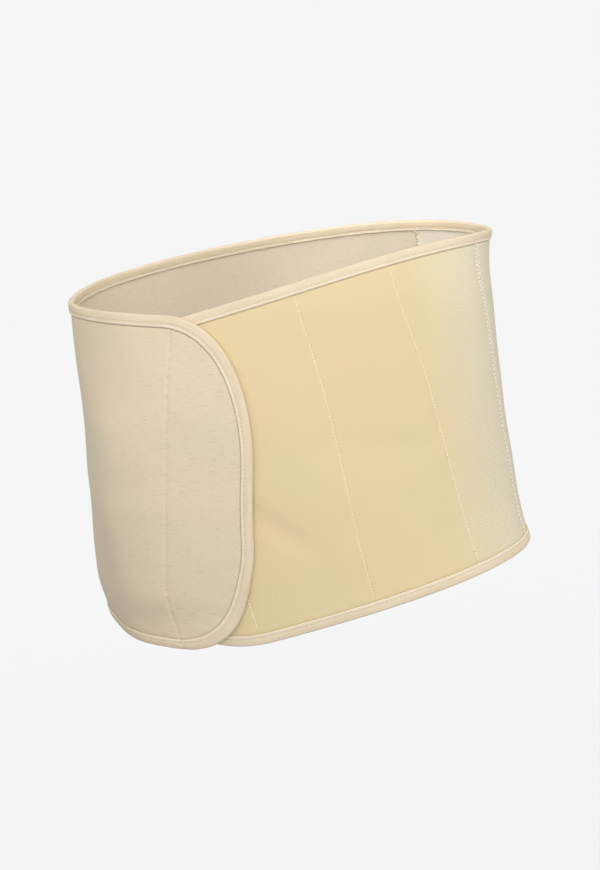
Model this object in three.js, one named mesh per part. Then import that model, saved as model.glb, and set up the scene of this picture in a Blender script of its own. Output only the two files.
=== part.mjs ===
import * as THREE from 'three';

// An abdominal binder, closed at the front as it is worn. Lengths are in millimetres, +Z is up and
// -Y is the wearer's front. The origin is in the middle of the hollow, level with the top of the back.
//
// A place on the band is given by its distance along the band from the middle of the back, negative
// towards the flap, its distance down the cloth from the top edge, and its distance out of the cloth.

// Cloth
const BAND_HEIGHT = 250;
const PANEL_WALL = 2.4;
const HOOK_WALL = 2.2;
const TAPE_WALL = 0.9;
const BINDING_WIDTH = 8.5;
const GAP = 0.3;
const HOOK_GAP = 0.45;

// The torso that the band is wrapped round, where it is widest and where it is deepest
const TORSO_WIDTH = 331;
const TORSO_DEPTH = 222;

// How the torso changes with depth below the top of the back. Depths are shares of the band's height,
// widths and their shifts are shares of the torso's width, and the rest are shares of its depth.
// "lean" makes the oval deeper at its left end than at its right, and "power" is 2 for an ellipse.
const OVALS = [
  { down: 0.0, width: 0.968, aside: 0.014, depth: 0.841, forward: 0.0, lean: -0.19, power: 1.8 },
  { down: 0.4, width: 0.981, aside: 0.009, depth: 0.996, forward: 0.03, lean: -0.14, power: 1.9 },
  { down: 0.8, width: 1.006, aside: -0.006, depth: 1.0, forward: 0.06, lean: -0.085, power: 2.0 },
  { down: 1.25, width: 1.054, aside: 0.012, depth: 0.927, forward: 0.093, lean: -0.02, power: 2.11 },
];
// The band sits turned on the torso, by a share of the girth
const TURN = 0.109;

// Both edges dip from the back to the front, more on the front panel's side than on the flap's
const FRONT_DIP = { depth: 42, power: 1.96 };
const FLAP_DIP = { depth: 29.5, power: 1.88 };

// The top edge flares out over the left hip bone, and its corner sags a little
const FLARE = 8;
const FLARE_REACH = 55;
const FLARE_SAG = 8;
const SAG_REACH = 75;

// The flap's side tucks out of sight below the hip: how far in, and from which share of the height
const TUCK = 13;
const TUCK_START = 0.88;
const TUCK_REACH = 0.3;

// Lines across the band, by their distance along it at the top and bottom edges
const SEAM_BACK = { top: 29, bottom: 31 };
const SEAM_SIDE = { top: 136, bottom: 139 };

// How far each end of the band runs past the front centre, and the sizes of its rounded corners
const FLAP_PAST = { top: 107.5, bottom: 76 };
const FLAP_CORNERS = { top: { along: 88, down: 112 }, bottom: { along: 80, down: 90 } };
const FRONT_PAST = { top: 60, bottom: 30 };
const FRONT_CORNERS = { top: { along: 50, down: 50 }, bottom: { along: 90, down: 75 } };

// The hook patch, set in from the flap's edge
const HOOK_MARGIN = 28;
const HOOK_WIDTH = 40;

// The flap lies fully over the front panel up to a distance from that panel's hidden end, and comes
// back to the torso at a greater distance beyond it
const LAP_FULL = 8;
const LAP_START = 62;

// How finely the cloth is divided, and the step over which its slope is measured
const NORMAL_STEP = 3;
const COLUMN_STEP = 10;
const CORNER_COLUMNS = 11;
const ROWS = 10;
const HOOK_COLUMNS = 8;
const OVAL_SIDES = 360;
const OVAL_LEVELS = 48;
const LOWEST_OVAL = 1.4;

const mix = THREE.MathUtils.lerp;
const smooth = THREE.MathUtils.smoothstep;

// The value at a depth of the cubic through one column of a table
function throughRows(rows, key, down) {
  let sum = 0;
  for (const row of rows) {
    let weight = 1;
    for (const other of rows) {
      if (other !== row) weight *= (down - other.down) / (row.down - other.down);
    }
    sum += weight * row[key];
  }
  return sum;
}

const signedPower = (value, power) => Math.sign(value) * Math.abs(value) ** power;

// The torso's oval at one depth, as points with their distance round it from the middle of the back
function makeOval(down) {
  const at = (key) => throughRows(OVALS, key, down);
  const halfWidth = TORSO_WIDTH * at('width') / 2;
  const halfDepth = TORSO_DEPTH * at('depth') / 2;
  const tuck = TUCK * Math.max(0, (down - TUCK_START) / TUCK_REACH) ** 2;
  const flare = FLARE * Math.max(0, 1 - down * BAND_HEIGHT / FLARE_REACH) ** 2;
  const points = [];
  let round = 0;
  for (let i = 0; i <= OVAL_SIDES; i++) {
    const angle = 2 * Math.PI * i / OVAL_SIDES;
    const side = signedPower(Math.sin(angle), 2 / at('power'));
    const back = signedPower(Math.cos(angle), 2 / at('power'));
    const x = halfWidth * side + tuck * Math.max(0, -side) + flare * Math.max(0, side) ** 3;
    const y = halfDepth * back * (1 + at('lean') * side);
    if (i > 0) round += Math.hypot(x - points[i - 1].x, y - points[i - 1].y);
    points.push({ x, y, side, round });
  }
  const aside = TORSO_WIDTH * at('aside');
  const forward = TORSO_DEPTH * at('forward');
  for (const point of points) {
    point.x += aside;
    point.y -= forward;
  }
  return { points, girth: round };
}

const ovals = [];
for (let i = 0; i <= OVAL_LEVELS; i++) ovals.push(makeOval(LOWEST_OVAL * i / OVAL_LEVELS));

// The two ovals next to a depth, and how far it lies between them
function nearestOvals(down) {
  const level = THREE.MathUtils.clamp(down / LOWEST_OVAL, 0, 1) * OVAL_LEVELS;
  const first = Math.min(Math.floor(level), OVAL_LEVELS - 1);
  return [ovals[first], ovals[first + 1], level - first];
}

function girthAt(down) {
  const [above, below, share] = nearestOvals(down);
  return mix(above.girth, below.girth, share);
}

function pointOnOval(oval, along) {
  const turned = along + TURN * oval.girth;
  const target = ((turned % oval.girth) + oval.girth) % oval.girth;
  let low = 0;
  let high = OVAL_SIDES;
  while (high - low > 1) {
    const middle = (low + high) >> 1;
    if (oval.points[middle].round <= target) low = middle;
    else high = middle;
  }
  const from = oval.points[low];
  const to = oval.points[high];
  const share = (target - from.round) / (to.round - from.round);
  return { x: mix(from.x, to.x, share), y: mix(from.y, to.y, share), side: mix(from.side, to.side, share) };
}

// The dip of the edges reaches its full depth at the front centre
const DIP_REACH = girthAt(0.5) / 2;

function dipAt(along) {
  const { depth, power } = along < 0 ? FLAP_DIP : FRONT_DIP;
  const share = Math.abs(along) / DIP_REACH;
  return {
    drop: depth * share ** power,
    slope: depth * power * share ** (power - 1) / DIP_REACH,
  };
}

// A place on the torso's surface, in the middle of the cloth of a single layer
function onTorso(along, down) {
  const dip = dipAt(along);
  const depth = dip.drop + down * Math.cos(dip.slope);
  const [above, below, share] = nearestOvals(depth / BAND_HEIGHT);
  const a = pointOnOval(above, along);
  const b = pointOnOval(below, along);
  const side = mix(a.side, b.side, share);
  const sag = FLARE_SAG * Math.max(0, side) ** 4 * Math.max(0, 1 - down / SAG_REACH);
  return new THREE.Vector3(mix(a.x, b.x, share), mix(a.y, b.y, share), -depth - sag);
}

const lineAt = (line, down) => mix(line.top, line.bottom, down / BAND_HEIGHT);

// An end of the band as a line across it: side is -1 for the flap and 1 for the front panel
const frontDip = FRONT_DIP.depth / BAND_HEIGHT;
const halfGirth = { top: girthAt(frontDip) / 2, bottom: girthAt(1 + frontDip) / 2 };
const FLAP_END = {
  side: -1,
  top: halfGirth.top + FLAP_PAST.top,
  bottom: halfGirth.bottom + FLAP_PAST.bottom,
  corners: FLAP_CORNERS,
};
const FRONT_END = {
  side: 1,
  top: halfGirth.top + FRONT_PAST.top,
  bottom: halfGirth.bottom + FRONT_PAST.bottom,
  corners: FRONT_CORNERS,
};

// Over the front panel the flap stands out by the hook patch or by two bindings, whichever is more
const LAP = PANEL_WALL + Math.max(HOOK_WALL + 2 * HOOK_GAP, 2 * (TAPE_WALL + GAP) + GAP);

function lapAt(along, down) {
  if (along >= 0) return 0;
  const girth = girthAt((dipAt(along).drop + down) / BAND_HEIGHT);
  const beyondEnd = girth + along - lineAt(FRONT_END, down);
  return LAP * (1 - smooth(beyondEnd, LAP_FULL, LAP_START));
}

// A place in the cloth, out from the middle of its wall
function inCloth(along, down, out) {
  const point = onTorso(along, down);
  const alongTangent = onTorso(along + NORMAL_STEP, down).sub(onTorso(along - NORMAL_STEP, down));
  const downTangent = onTorso(along, down + NORMAL_STEP).sub(onTorso(along, down - NORMAL_STEP));
  const normal = alongTangent.cross(downTangent).normalize();
  return point.addScaledVector(normal, out + lapAt(along, down));
}

// A column runs down the cloth between two places given by their distances along and down
function column(topAlong, bottomAlong) {
  return { top: { along: topAlong, down: 0 }, bottom: { along: bottomAlong, down: BAND_HEIGHT } };
}

// The place on a column at one of its rows, which lie closer together near both edges
function onRow(col, row) {
  const share = (1 - Math.cos(Math.PI * row / ROWS)) / 2;
  return {
    along: mix(col.top.along, col.bottom.along, share),
    down: mix(col.top.down, col.bottom.down, share),
  };
}

// A place on an end's rounded corner, where turn goes from 0 on the straight edge to 1 at the tip
function onCorner(end, edge, turn, inset) {
  const radius = end.corners[edge];
  const angle = turn * Math.PI / 2;
  const fromEdge = inset + (radius.down - inset) * (1 - Math.cos(angle));
  const down = edge === 'top' ? fromEdge : BAND_HEIGHT - fromEdge;
  const fromTip = inset + (radius.along - inset) * (1 - Math.sin(angle));
  return { along: end.side * (lineAt(end, down) - fromTip), down };
}

// The columns of a rounded end, from its tip back to the given turns of its corners
function endColumns(end, count, inset = 0, lastTurn = { top: 0, bottom: 0 }) {
  const columns = [];
  for (let i = 0; i <= count; i++) {
    const onEdge = (edge) => onCorner(end, edge, mix(1, lastTurn[edge], i / count), inset);
    columns.push({ top: onEdge('top'), bottom: onEdge('bottom') });
  }
  return columns;
}

// Evenly spaced columns strictly between two columns
function columnsBetween(first, last) {
  const count = Math.max(2, Math.round(Math.abs(first.top.along - last.top.along) / COLUMN_STEP));
  const columns = [];
  for (let i = 1; i < count; i++) {
    const topAlong = mix(first.top.along, last.top.along, i / count);
    columns.push(column(topAlong, mix(first.bottom.along, last.bottom.along, i / count)));
  }
  return columns;
}

// The columns of the whole band, from the flap's tip to the front panel's tip
const flapColumns = endColumns(FLAP_END, CORNER_COLUMNS);
const frontColumns = endColumns(FRONT_END, CORNER_COLUMNS).reverse();
const backSeam = column(SEAM_BACK.top, SEAM_BACK.bottom);
const sideSeam = column(SEAM_SIDE.top, SEAM_SIDE.bottom);
const bandColumns = [
  ...flapColumns,
  ...columnsBetween(flapColumns.at(-1), backSeam),
  backSeam,
  ...columnsBetween(backSeam, sideSeam),
  sideSeam,
  ...columnsBetween(sideSeam, frontColumns[0]),
  ...frontColumns,
];

// The edge of the whole band, once round: the top, the front panel's tip, the bottom and the flap's tip
const edgePath = bandColumns.map((col) => col.top);
for (let r = 1; r < ROWS; r++) edgePath.push(onRow(bandColumns.at(-1), r));
edgePath.push(...bandColumns.map((col) => col.bottom).reverse());
for (let r = ROWS - 1; r > 0; r--) edgePath.push(onRow(bandColumns[0], r));

// The place that lies a distance in from the edge, square to it
function inFromEdge(index, inward) {
  const place = edgePath[index];
  const before = edgePath.at(index - 1);
  const after = edgePath[(index + 1) % edgePath.length];
  const length = Math.hypot(after.along - before.along, after.down - before.down);
  return {
    along: place.along + inward * (before.down - after.down) / length,
    down: place.down + inward * (after.along - before.along) / length,
  };
}

// A closed solid through sections, each a list of points in the same order round it. An open sweep
// is capped with strips between the first and the second half of its end sections.
function sweep(sections, closed) {
  const size = sections[0].length;
  const positions = sections.flat().flatMap((point) => [point.x, point.y, point.z]);
  const indices = [];
  const quad = (a, b, c, d) => indices.push(a, b, c, a, c, d);
  const spans = closed ? sections.length : sections.length - 1;
  for (let i = 0; i < spans; i++) {
    const here = i * size;
    const next = ((i + 1) % sections.length) * size;
    for (let k = 0; k < size; k++) {
      const after = (k + 1) % size;
      quad(here + k, next + k, next + after, here + after);
    }
  }
  if (!closed) {
    const last = (sections.length - 1) * size;
    for (let k = 0; k < size / 2 - 1; k++) {
      const across = size - 1 - k;
      quad(k, k + 1, across - 1, across);
      quad(last + across, last + across - 1, last + k + 1, last + k);
    }
  }
  const geometry = new THREE.BufferGeometry();
  geometry.setAttribute('position', new THREE.Float32BufferAttribute(positions, 3));
  geometry.setIndex(indices);
  geometry.computeVertexNormals();
  return geometry;
}

// A sheet of cloth over columns, between two distances out of the cloth
function sheetOver(columns, inner, outer) {
  const sections = columns.map((col) => {
    const section = [];
    for (let r = 0; r <= ROWS; r++) {
      const place = onRow(col, r);
      section.push(inCloth(place.along, place.down, outer));
    }
    for (let r = ROWS; r >= 0; r--) {
      const place = onRow(col, r);
      section.push(inCloth(place.along, place.down, inner));
    }
    return section;
  });
  return sweep(sections, false);
}

// The tape lies folded over the edge, so the cloth ends inside its fold
const halfWall = PANEL_WALL / 2;
const lastBottom = 2 * bandColumns.length + ROWS - 2;
const clothColumns = bandColumns.map((col, i) => ({
  top: inFromEdge(i, TAPE_WALL + GAP),
  bottom: inFromEdge(lastBottom - i, TAPE_WALL + GAP),
}));

// A panel of the band between two of its columns, drawn back by half the gap at each seam
function bandPanel(from, to) {
  const columns = clothColumns.slice(bandColumns.indexOf(from), bandColumns.indexOf(to) + 1);
  const drawnBack = (col, by) => ({
    top: { along: col.top.along + by, down: col.top.down },
    bottom: { along: col.bottom.along + by, down: col.bottom.down },
  });
  const isSeam = (col) => col === backSeam || col === sideSeam;
  if (isSeam(from)) columns[0] = drawnBack(columns[0], GAP / 2);
  if (isSeam(to)) columns.push(drawnBack(columns.pop(), -GAP / 2));
  return sheetOver(columns, -halfWall, halfWall);
}

// The folded tape's section: its distance in from the edge and out of the cloth
const tapeInner = halfWall + GAP;
const tapeOuter = tapeInner + TAPE_WALL;
const TAPE_SECTION = [
  { inward: 0, out: tapeOuter * 0.4 },
  { inward: TAPE_WALL * 0.8, out: tapeOuter },
  { inward: BINDING_WIDTH, out: tapeOuter },
  { inward: BINDING_WIDTH, out: tapeInner },
  { inward: TAPE_WALL, out: tapeInner },
  { inward: TAPE_WALL, out: -tapeInner },
  { inward: BINDING_WIDTH, out: -tapeInner },
  { inward: BINDING_WIDTH, out: -tapeOuter },
  { inward: TAPE_WALL * 0.8, out: -tapeOuter },
  { inward: 0, out: -tapeOuter * 0.4 },
];

function makeBinding() {
  const sections = edgePath.map((_, i) => TAPE_SECTION.map(({ inward, out }) => {
    const place = inFromEdge(i, inward);
    return inCloth(place.along, place.down, out);
  }));
  return sweep(sections, true);
}

// The hook patch lies under the flap, between it and the front panel
function makeHookPatch() {
  const lastTurn = {};
  for (const edge of ['top', 'bottom']) {
    const radius = FLAP_CORNERS[edge].along - HOOK_MARGIN;
    lastTurn[edge] = Math.asin(Math.max(0, 1 - HOOK_WIDTH / radius)) * 2 / Math.PI;
  }
  const outer = -halfWall - HOOK_GAP;
  return sheetOver(endColumns(FLAP_END, HOOK_COLUMNS, HOOK_MARGIN, lastTurn), outer - HOOK_WALL, outer);
}

function cloth(name, color, roughness) {
  return new THREE.MeshStandardMaterial({ name, color, roughness, metalness: 0 });
}

const binder = new THREE.Group();

function addPiece(name, geometry, material) {
  const mesh = new THREE.Mesh(geometry, material);
  mesh.name = name;
  binder.add(mesh);
}

addPiece('main_panel', bandPanel(bandColumns[0], backSeam), cloth('smooth_knit', 0xd8c8b0, 0.9));
addPiece('side_gusset', bandPanel(backSeam, sideSeam), cloth('ribbed_elastic', 0xd6cdb2, 0.9));
addPiece('front_panel', bandPanel(sideSeam, bandColumns.at(-1)), cloth('plush_loop', 0xe6d7ae, 1));
addPiece('hook_patch', makeHookPatch(), cloth('hook_tape', 0xdccbb0, 0.8));
addPiece('binding', makeBinding(), cloth('binding_tape', 0xf0dfc2, 0.85));

export default binder;
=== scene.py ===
"""An abdominal binder: elastic cloth panels, a plush front and a rounded flap, dressed over the model.

Lengths are in millimetres until a mesh is made, and meshes are in metres. A place on the band is its
distance along it from the middle of the back, negative towards the flap, its distance down the cloth
from the top edge, and its distance out of the cloth.
"""

import math
from functools import cached_property

import bpy
import numpy as np
from mathutils import Matrix, Vector


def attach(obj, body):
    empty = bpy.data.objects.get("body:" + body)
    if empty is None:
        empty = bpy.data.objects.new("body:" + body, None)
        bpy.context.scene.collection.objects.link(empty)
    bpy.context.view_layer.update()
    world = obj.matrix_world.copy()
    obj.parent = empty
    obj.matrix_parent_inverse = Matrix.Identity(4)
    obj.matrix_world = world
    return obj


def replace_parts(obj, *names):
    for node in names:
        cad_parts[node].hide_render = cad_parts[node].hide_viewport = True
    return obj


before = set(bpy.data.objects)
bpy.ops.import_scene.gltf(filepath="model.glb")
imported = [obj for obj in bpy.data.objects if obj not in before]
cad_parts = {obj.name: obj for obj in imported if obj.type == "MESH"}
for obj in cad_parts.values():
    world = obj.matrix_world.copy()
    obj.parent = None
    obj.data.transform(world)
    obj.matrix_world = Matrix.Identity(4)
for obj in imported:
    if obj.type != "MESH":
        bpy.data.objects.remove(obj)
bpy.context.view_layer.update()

MM = 0.001
# Cloth, as in the model
BAND_HEIGHT = 250.0
PANEL_WALL = 2.4
HOOK_WALL = 2.2
TAPE_WALL = 0.9
BINDING_WIDTH = 8.5
GAP = 0.3
HOOK_GAP = 0.45

# The torso that the band is wrapped round, as in the model
TORSO_WIDTH = 331.0
TORSO_DEPTH = 222.0
OVALS = {
    "down": (0.0, 0.4, 0.8, 1.25),
    "width": (0.968, 0.981, 1.006, 1.054),
    "aside": (0.014, 0.009, -0.006, 0.012),
    "depth": (0.841, 0.996, 1.0, 0.927),
    "forward": (0.0, 0.03, 0.06, 0.093),
    "lean": (-0.19, -0.14, -0.085, -0.02),
    "power": (1.8, 1.9, 2.0, 2.11),
}
TURN = 0.109
FRONT_DIP = {"depth": 42.0, "power": 1.96}
FLAP_DIP = {"depth": 29.5, "power": 1.88}
FLARE = 8.0
FLARE_REACH = 55.0
FLARE_SAG = 8.0
SAG_REACH = 75.0
TUCK = 13.0
TUCK_START = 0.88
TUCK_REACH = 0.3
SEAM_BACK = {"top": 29.0, "bottom": 31.0}
SEAM_SIDE = {"top": 136.0, "bottom": 139.0}
FLAP_PAST = {"top": 107.5, "bottom": 76.0}
FLAP_CORNERS = {"top": {"along": 88.0, "down": 112.0}, "bottom": {"along": 80.0, "down": 90.0}}
FRONT_PAST = {"top": 60.0, "bottom": 30.0}
FRONT_CORNERS = {"top": {"along": 50.0, "down": 50.0}, "bottom": {"along": 90.0, "down": 75.0}}
HOOK_MARGIN = 28.0
HOOK_WIDTH = 40.0
LAP_FULL = 8.0
LAP_START = 62.0
NORMAL_STEP = 3.0
OVAL_SIDES = 1440
OVAL_LEVELS = 140
LOWEST_OVAL = 1.4


def mix(a, b, share):
    return a + (b - a) * share


def smooth(value, low, high):
    share = np.clip((value - low) / (high - low), 0, 1)
    return share * share * (3 - 2 * share)


def through_rows(key, down):
    """The value at a depth of the cubic through one column of the table of ovals."""
    total = 0.0
    for i, row_down in enumerate(OVALS["down"]):
        weight = 1.0
        for other in OVALS["down"]:
            if other != row_down:
                weight *= (down - other) / (row_down - other)
        total += weight * OVALS[key][i]
    return total


def make_oval(down):
    """The torso's oval at one depth, at even steps round it, as x, y and side, and its girth."""
    def signed_power(value):
        return np.sign(value) * np.abs(value) ** (2 / through_rows("power", down))

    angle = np.linspace(0, 2 * math.pi, 2 * OVAL_SIDES + 1)
    side = signed_power(np.sin(angle))
    back = signed_power(np.cos(angle))
    tuck = TUCK * max(0.0, (down - TUCK_START) / TUCK_REACH) ** 2
    flare = FLARE * max(0.0, 1 - down * BAND_HEIGHT / FLARE_REACH) ** 2
    x = TORSO_WIDTH * through_rows("width", down) / 2 * side
    x += tuck * np.maximum(0, -side) + flare * np.maximum(0, side) ** 3
    y = TORSO_DEPTH * through_rows("depth", down) / 2 * back * (1 + through_rows("lean", down) * side)
    round_it = np.concatenate([[0], np.cumsum(np.hypot(np.diff(x), np.diff(y)))])
    steps = np.linspace(0, round_it[-1], OVAL_SIDES + 1)
    x += TORSO_WIDTH * through_rows("aside", down)
    y -= TORSO_DEPTH * through_rows("forward", down)
    return [np.interp(steps, round_it, values) for values in (x, y, side)], round_it[-1]


ovals = [make_oval(down) for down in np.linspace(0, LOWEST_OVAL, OVAL_LEVELS + 1)]
OVAL_X, OVAL_Y, OVAL_SIDE = (np.array([oval[0][k] for oval in ovals]) for k in range(3))
GIRTHS = np.array([oval[1] for oval in ovals])


def girth_at(depth):
    """The torso's girth at a depth given as a share of the band's height."""
    return np.interp(depth, np.linspace(0, LOWEST_OVAL, OVAL_LEVELS + 1), GIRTHS)


def on_oval(level, along):
    """The x, y and side of places on whole levels of the ovals."""
    step = ((along / GIRTHS[level] + TURN) % 1) * OVAL_SIDES
    first = np.minimum(step.astype(int), OVAL_SIDES - 1)
    share = step - first
    return [mix(t[level, first], t[level, first + 1], share) for t in (OVAL_X, OVAL_Y, OVAL_SIDE)]


DIP_REACH = float(girth_at(0.5)) / 2


def dip_at(along):
    """How far the top edge has dropped there, and its slope."""
    depth = np.where(along < 0, FLAP_DIP["depth"], FRONT_DIP["depth"])
    power = np.where(along < 0, FLAP_DIP["power"], FRONT_DIP["power"])
    share = np.abs(along) / DIP_REACH
    return depth * share ** power, depth * power * share ** (power - 1) / DIP_REACH


def on_torso(along, down):
    """Places on the torso's surface, in the middle of the cloth of a single layer."""
    drop, slope = dip_at(along)
    depth = drop + down * np.cos(slope)
    level = np.clip(depth / BAND_HEIGHT / LOWEST_OVAL, 0, 1) * OVAL_LEVELS
    first = np.minimum(level.astype(int), OVAL_LEVELS - 1)
    share = level - first
    x, y, side = (mix(a, b, share) for a, b in zip(on_oval(first, along), on_oval(first + 1, along)))
    sag = FLARE_SAG * np.maximum(0, side) ** 4 * np.maximum(0, 1 - down / SAG_REACH)
    return np.stack([x, y, -depth - sag], -1)


def line_at(line, down):
    """A line across the band at a distance down. A bow swings its middle out from the straight."""
    share = down / BAND_HEIGHT
    return mix(line["top"], line["bottom"], share) + line.get("bow", 0.0) * 4 * share * (1 - share)


front_dip = FRONT_DIP["depth"] / BAND_HEIGHT
half_girth = {"top": float(girth_at(front_dip)) / 2, "bottom": float(girth_at(1 + front_dip)) / 2}
FLAP_END = {"side": -1, "corners": FLAP_CORNERS}
FRONT_END = {"side": 1, "corners": FRONT_CORNERS}
for edge, half in half_girth.items():
    FLAP_END[edge] = half + FLAP_PAST[edge]
    FRONT_END[edge] = half + FRONT_PAST[edge]

LAP = PANEL_WALL + max(HOOK_WALL + 2 * HOOK_GAP, 2 * (TAPE_WALL + GAP) + GAP)


def lap_at(along, down):
    """How far the flap stands out over the front panel."""
    girth = girth_at((dip_at(along)[0] + down) / BAND_HEIGHT)
    beyond_end = girth + along - line_at(FRONT_END, down)
    return np.where(along < 0, LAP * (1 - smooth(beyond_end, LAP_FULL, LAP_START)), 0)


def cloth_frame(along, down):
    """The middle of the cloth at places on the band, and the direction out of it."""
    along, down = np.broadcast_arrays(np.asarray(along, float), np.asarray(down, float))
    point = on_torso(along, down)
    along_tangent = on_torso(along + NORMAL_STEP, down) - on_torso(along - NORMAL_STEP, down)
    down_tangent = on_torso(along, down + NORMAL_STEP) - on_torso(along, down - NORMAL_STEP)
    normal = np.cross(along_tangent, down_tangent)
    normal /= np.linalg.norm(normal, axis=-1, keepdims=True)
    return point + normal * lap_at(along, down)[..., None], normal


# Places on the band's outline

def on_corner(end, edge, turn, inset=0.0):
    """Places on an end's rounded corner, where turn is 0 on the straight edge and 1 at the tip."""
    radius = end["corners"][edge]
    angle = turn * math.pi / 2
    from_edge = inset + (radius["down"] - inset) * (1 - np.cos(angle))
    down = from_edge if edge == "top" else BAND_HEIGHT - from_edge
    from_tip = inset + (radius["along"] - inset) * (1 - np.sin(angle))
    return np.stack([end["side"] * (line_at(end, down) - from_tip), down], -1)


def square_to(path, closed=False):
    """The direction in from an outline, at each of its places."""
    if closed:
        tangent = np.roll(path, -1, 0) - np.roll(path, 1, 0)
    else:
        tangent = np.gradient(path, axis=0)
    tangent /= np.linalg.norm(tangent, axis=1, keepdims=True)
    return np.stack([-tangent[:, 1], tangent[:, 0]], -1)


def evenly(path, step):
    """A line of places divided into even steps of about a given length."""
    lengths = np.linalg.norm(np.diff(path, axis=0), axis=1)
    distance = np.concatenate([[0], np.cumsum(lengths)])
    count = max(2, round(distance[-1] / step))
    at = np.linspace(0, distance[-1], count + 1)
    return np.stack([np.interp(at, distance, path[:, k]) for k in range(2)], -1)


CORNER_POINTS = 200


def band_outline(step):
    """The band's closed outline: the top, the front panel's tip, the bottom and the flap's tip."""
    turn = np.linspace(0, 1, CORNER_POINTS)
    path = np.concatenate([
        on_corner(FLAP_END, "top", turn[::-1]),
        on_corner(FRONT_END, "top", turn),
        on_corner(FRONT_END, "bottom", turn[::-1]),
        on_corner(FLAP_END, "bottom", turn),
    ])
    path = np.concatenate([path, path[:1]])
    return evenly(path, step)[:-1]


# Columns across the cloth, as their places on the top edge and on the bottom edge

COLUMN_STEP = 2.2
FINE_STEP = 0.7
FLAP_CORNER_COLUMNS = 110
FRONT_CORNER_COLUMNS = 64
NEAR_STITCHES = 4.0

# Lines of stitches across the front panel, and the one across the flap
STITCH_LINES = {
    "near_side": {"top": 218.5, "bottom": 202.5},
    "near_flap": {"top": 292.5, "bottom": 291.0},
    "under_flap": {"top": 381.0, "bottom": 382.0},
}
FLAP_LINE = {"top": -441.5, "bottom": -434.5, "bow": -14.7}


def straight_columns(guides):
    """Columns between guides, each with its places along and whether a fine stretch starts there."""
    top, bottom = [], []
    for (from_top, from_bottom, fine), (to_top, to_bottom, _) in zip(guides, guides[1:]):
        width = abs(to_top - from_top)
        count = max(1, round(width / (FINE_STEP if fine else COLUMN_STEP)))
        share = np.arange(count) / count
        top.append(mix(from_top, to_top, share))
        bottom.append(mix(from_bottom, to_bottom, share))
    top.append([guides[-1][0]])
    bottom.append([guides[-1][1]])
    top, bottom = np.concatenate(top), np.concatenate(bottom)
    return (np.stack([top, np.zeros_like(top)], -1),
            np.stack([bottom, np.full_like(bottom, BAND_HEIGHT)], -1))


def end_columns(end, count):
    """The columns of a rounded end, from its tip back to where its corners begin."""
    turn = np.linspace(1, 0, count + 1)
    return on_corner(end, "top", turn), on_corner(end, "bottom", turn)


def joined(*parts):
    """Columns joined one after the other, each part but the first without its first column."""
    first, *others = parts
    return tuple(
        np.concatenate([first[k]] + [part[k][1:] for part in others]) for k in range(2)
    )


def guide(line, aside, fine):
    """A column beside a line across the band, with whether it starts a fine stretch."""
    return line["top"] + aside, line["bottom"] + aside, fine


def front_panel_columns():
    corner_top, corner_bottom = end_columns(FRONT_END, FRONT_CORNER_COLUMNS)
    corner = corner_top[::-1], corner_bottom[::-1]
    guides = [guide(SEAM_SIDE, 0, True), guide(SEAM_SIDE, NEAR_STITCHES, False)]
    for line in (STITCH_LINES["near_side"], STITCH_LINES["near_flap"]):
        guides += [guide(line, -NEAR_STITCHES, True), guide(line, NEAR_STITCHES, False)]
    guides.append((corner[0][0][0], corner[1][0][0], False))
    return joined(straight_columns(guides), corner)


def gusset_columns():
    guides = [guide(SEAM_BACK, 0, True), guide(SEAM_BACK, NEAR_STITCHES, False)]
    guides += [guide(SEAM_SIDE, -NEAR_STITCHES, True), guide(SEAM_SIDE, 0, True)]
    return straight_columns(guides)


def main_panel_columns():
    corner = end_columns(FLAP_END, FLAP_CORNER_COLUMNS)
    guides = [(corner[0][-1][0], corner[1][-1][0], False)]
    guides += [guide(SEAM_BACK, -NEAR_STITCHES, True), guide(SEAM_BACK, 0, True)]
    return joined(corner, straight_columns(guides))


# Relief of the cloth

# The noise's lattice, and how far from its own corner the band's middle lies
LATTICE = 64
LATTICE_START = 500

# Seeds of the random draws
SEEDS = {
    "edge": 11, "broad": 21, "fine": 22, "flap_line": 31, "front_lines": 41, "seams": 51,
    "tape_along": 51, "tape_across": 52, "front_stitches": 61, "flap_stitches": 71, "tape_stitches": 81,
}


def ripple(along, down, along_size, down_size, seed):
    """Smooth noise from -1 to 1 whose swells have about the given sizes."""
    random = np.random.default_rng(seed)
    lattice = random.uniform(-1, 1, (LATTICE, LATTICE))
    u = along / along_size + LATTICE_START
    v = down / down_size + LATTICE_START
    i, j = np.floor(u).astype(int), np.floor(v).astype(int)
    fu, fv = smooth(u - i, 0, 1), smooth(v - j, 0, 1)

    def corner(i_step, j_step):
        return lattice[(i + i_step) % LATTICE, (j + j_step) % LATTICE]

    return mix(mix(corner(0, 0), corner(1, 0), fu), mix(corner(0, 1), corner(1, 1), fu), fv)


TAPE_STEP = 2.0
OUTLINE = band_outline(TAPE_STEP)
OUTLINE_CHUNK = 64


def from_outline(along, down):
    """How far places lie in from the band's outline."""
    nearest = np.full(along.shape, np.inf)
    for start in range(0, len(OUTLINE), OUTLINE_CHUNK):
        part = OUTLINE[start:start + OUTLINE_CHUNK]
        gap = np.hypot(along[..., None] - part[:, 0], down[..., None] - part[:, 1])
        nearest = np.minimum(nearest, gap.min(-1))
    return nearest


def bump(value, width):
    """A soft bell of a given half width."""
    return np.exp(-(value / width) ** 2)


# The dents that stitching draws into the cloth, with the height of the puckers beside them
FRONT_DENT = {"depth": 0.45, "width": 1.1, "pucker": 0.16}
FLAP_DENT = {"depth": 0.45, "width": 1.1, "pucker": 0.22}
SEAM_DENT = {"depth": 0.35, "width": 3.2, "pucker": 0.16}
PUCKER_REACH = 7.0
PUCKER_SIZE = (9.0, 3.2)


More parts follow.
